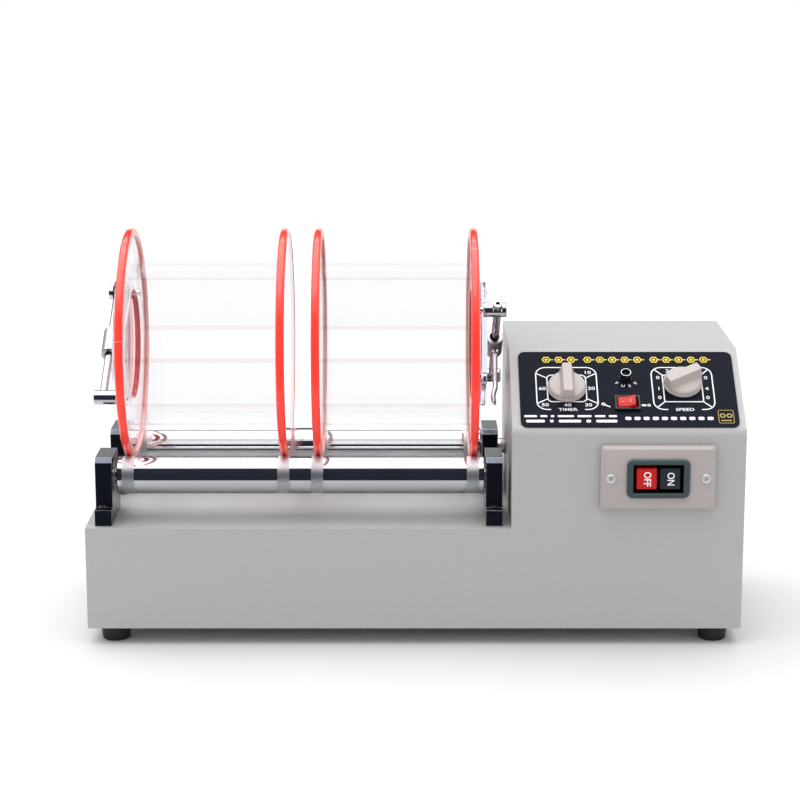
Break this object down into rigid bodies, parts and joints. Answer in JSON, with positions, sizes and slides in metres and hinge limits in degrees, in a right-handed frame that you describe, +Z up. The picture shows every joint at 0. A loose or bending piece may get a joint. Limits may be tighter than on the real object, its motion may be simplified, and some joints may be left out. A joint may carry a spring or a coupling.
{
  "type": "rotary rock tumbler",
  "caption": "Twin-barrel rotary rock tumbler: clear hexagonal barrels with red tyres ride on chromed rollers beside a control box with timer, speed and on/off switches.",
  "frame": {"origin": "on the table, under the middle of the whole object's bounding box", "axes": "+X along the rollers towards the control box, +Y from the control panel's side to the back, +Z up"},
  "size_m": [0.567, 0.225, 0.3509],
  "materials": {
    "grey_paint": "fine-textured powder coat",
    "black_rubber": "matt moulded rubber",
    "chrome": "mirror-bright plated",
    "black_anodised": "black anodised, bright chamfers",
    "bearing_steel": "ground steel",
    "clear_acrylic": "clear polished acrylic",
    "red_silicone": "translucent red silicone",
    "panel_black": "printed overlay, satin",
    "beige_plastic": "moulded, fine grain",
    "black_plastic": "moulded",
    "green_plastic": "moulded, fine grain",
    "red_plastic": "moulded, glossy",
    "aluminium": "machined",
    "belt_rubber": "cog belt"
  },
  "bodies": {
    "housing": {"base_housing": "grey_paint", "rear_cover": "grey_paint", "bottom_plate": "grey_paint", "foot_front_left": "black_rubber", "foot_front_right": "black_rubber", "foot_rear_left": "black_rubber", "foot_rear_right": "black_rubber", "bearing_block_front_left": "black_anodised", "bearing_block_front_right": "black_anodised", "bearing_block_rear_left": "black_anodised", "bearing_block_rear_right": "black_anodised", "ball_bearing_front_left": "bearing_steel", "ball_bearing_front_right": "bearing_steel", "ball_bearing_rear_left": "bearing_steel", "ball_bearing_rear_right": "bearing_steel", "panel_plate": "panel_black", "timer_unit": "black_plastic", "speed_switch": "black_plastic", "fuse_holder": "black_plastic", "rocker_frame": "black_plastic", "switch_plate": "beige_plastic", "switch_bezel": "green_plastic", "motor": "aluminium", "motor_bracket": "aluminium", "drive_belt": "belt_rubber", "power_inlet": "black_plastic"},
    "front_roller": {"front_roller": "chrome"},
    "rear_roller": {"rear_roller": "chrome", "roller_pulley": "aluminium"},
    "motor_pulley": {"motor_pulley": "aluminium"},
    "left_drum": {"left_barrel": "clear_acrylic", "left_plain_flange": "clear_acrylic", "left_door_flange": "clear_acrylic", "left_plain_tyre": "red_silicone", "left_door_tyre": "red_silicone", "left_lid_gasket": "red_silicone", "left_lid": "clear_acrylic", "left_latch_post": "chrome"},
    "left_clamp": {"left_pivot_post": "chrome", "left_clamp_bar": "chrome"},
    "left_cam": {"left_clamp_cam": "bearing_steel", "left_cam_lever": "chrome"},
    "right_drum": {"right_barrel": "clear_acrylic", "right_plain_flange": "clear_acrylic", "right_door_flange": "clear_acrylic", "right_plain_tyre": "red_silicone", "right_door_tyre": "red_silicone", "right_lid_gasket": "red_silicone", "right_lid": "clear_acrylic", "right_latch_post": "chrome"},
    "right_clamp": {"right_pivot_post": "chrome", "right_clamp_bar": "chrome"},
    "right_cam": {"right_clamp_cam": "bearing_steel", "right_cam_lever": "chrome"},
    "timer_knob": {"timer_knob": "beige_plastic"},
    "speed_knob": {"speed_knob": "beige_plastic"},
    "fuse_cap": {"fuse_cap": "black_plastic"},
    "rocker_button": {"rocker_button": "red_plastic"},
    "on_button": {"on_button": "black_plastic"},
    "off_button": {"off_button": "red_plastic"}
  },
  "joints": [
    {"name": "rear_roller_spin", "type": "hinge", "parent": "housing", "child": "rear_roller", "pos_m": [-0.09865, 0.04375, 0.143], "axis": [1, 0, 0], "continuous": true},
    {"name": "front_roller_spin", "type": "hinge", "parent": "housing", "child": "front_roller", "pos_m": [-0.09865, -0.06285, 0.143], "axis": [1, 0, 0], "continuous": true},
    {"name": "motor_pulley_spin", "type": "hinge", "parent": "housing", "child": "motor_pulley", "pos_m": [0.0985, -0.03525, 0.072], "axis": [1, 0, 0], "continuous": true},
    {"name": "left_drum_spin", "type": "hinge", "parent": "housing", "child": "left_drum", "pos_m": [-0.1815, -0.00955, 0.24895], "axis": [1, 0, 0], "continuous": true},
    {"name": "left_clamp_swing", "type": "hinge", "parent": "left_drum", "child": "left_clamp", "pos_m": [-0.2688, -0.0687, 0.21341], "axis": [1, 0, 0], "range_deg": [0, 110]},
    {"name": "left_cam_turn", "type": "hinge", "parent": "left_clamp", "child": "left_cam", "pos_m": [-0.2688, -0.00955, 0.24895], "axis": [0, 0.8572, 0.515], "range_deg": [0, 120]},
    {"name": "right_drum_spin", "type": "hinge", "parent": "housing", "child": "right_drum", "pos_m": [-0.016, -0.00955, 0.24895], "axis": [1, 0, 0], "continuous": true},
    {"name": "right_clamp_swing", "type": "hinge", "parent": "right_drum", "child": "right_clamp", "pos_m": [0.0713, 0.04627, 0.20839], "axis": [-1, 0, 0], "range_deg": [0, 110]},
    {"name": "right_cam_turn", "type": "hinge", "parent": "right_clamp", "child": "right_cam", "pos_m": [0.0713, -0.00955, 0.24895], "axis": [0, -0.809, 0.5878], "range_deg": [0, 8]},
    {"name": "timer_turn", "type": "hinge", "parent": "housing", "child": "timer_knob", "pos_m": [0.132, -0.0628, 0.22048], "axis": [0, 0.5735, -0.8192], "range_deg": [0, 270]},
    {"name": "speed_turn", "type": "hinge", "parent": "housing", "child": "speed_knob", "pos_m": [0.2325, -0.05846, 0.22351], "axis": [0, 0.5735, -0.8192], "range_deg": [-193, 67]},
    {"name": "fuse_cap_twist", "type": "hinge", "parent": "housing", "child": "fuse_cap", "pos_m": [0.1835, -0.05391, 0.22817], "axis": [0, -0.5735, 0.8192], "range_deg": [0, 60]},
    {"name": "rocker_tip", "type": "hinge", "parent": "housing", "child": "rocker_button", "pos_m": [0.1835, -0.07738, 0.20991], "axis": [0, 0.8192, 0.5735], "range_deg": [0, 24]},
    {"name": "on_button_press", "type": "slide", "parent": "housing", "child": "on_button", "axis": [0, 1, 0], "range_m": [-0.002, 0.002]},
    {"name": "off_button_press", "type": "slide", "parent": "housing", "child": "off_button", "axis": [0, 1, 0], "range_m": [-0.002, 0.002]}
  ],
  "couplings": [
    {"joint": "front_roller_spin", "follows": "rear_roller_spin", "ratio": 1},
    {"joint": "motor_pulley_spin", "follows": "rear_roller_spin", "ratio": 3.5},
    {"joint": "left_drum_spin", "follows": "rear_roller_spin", "ratio": -0.1598},
    {"joint": "right_drum_spin", "follows": "rear_roller_spin", "ratio": -0.1598},
    {"joint": "off_button_press", "follows": "on_button_press", "ratio": -1}
  ]
}
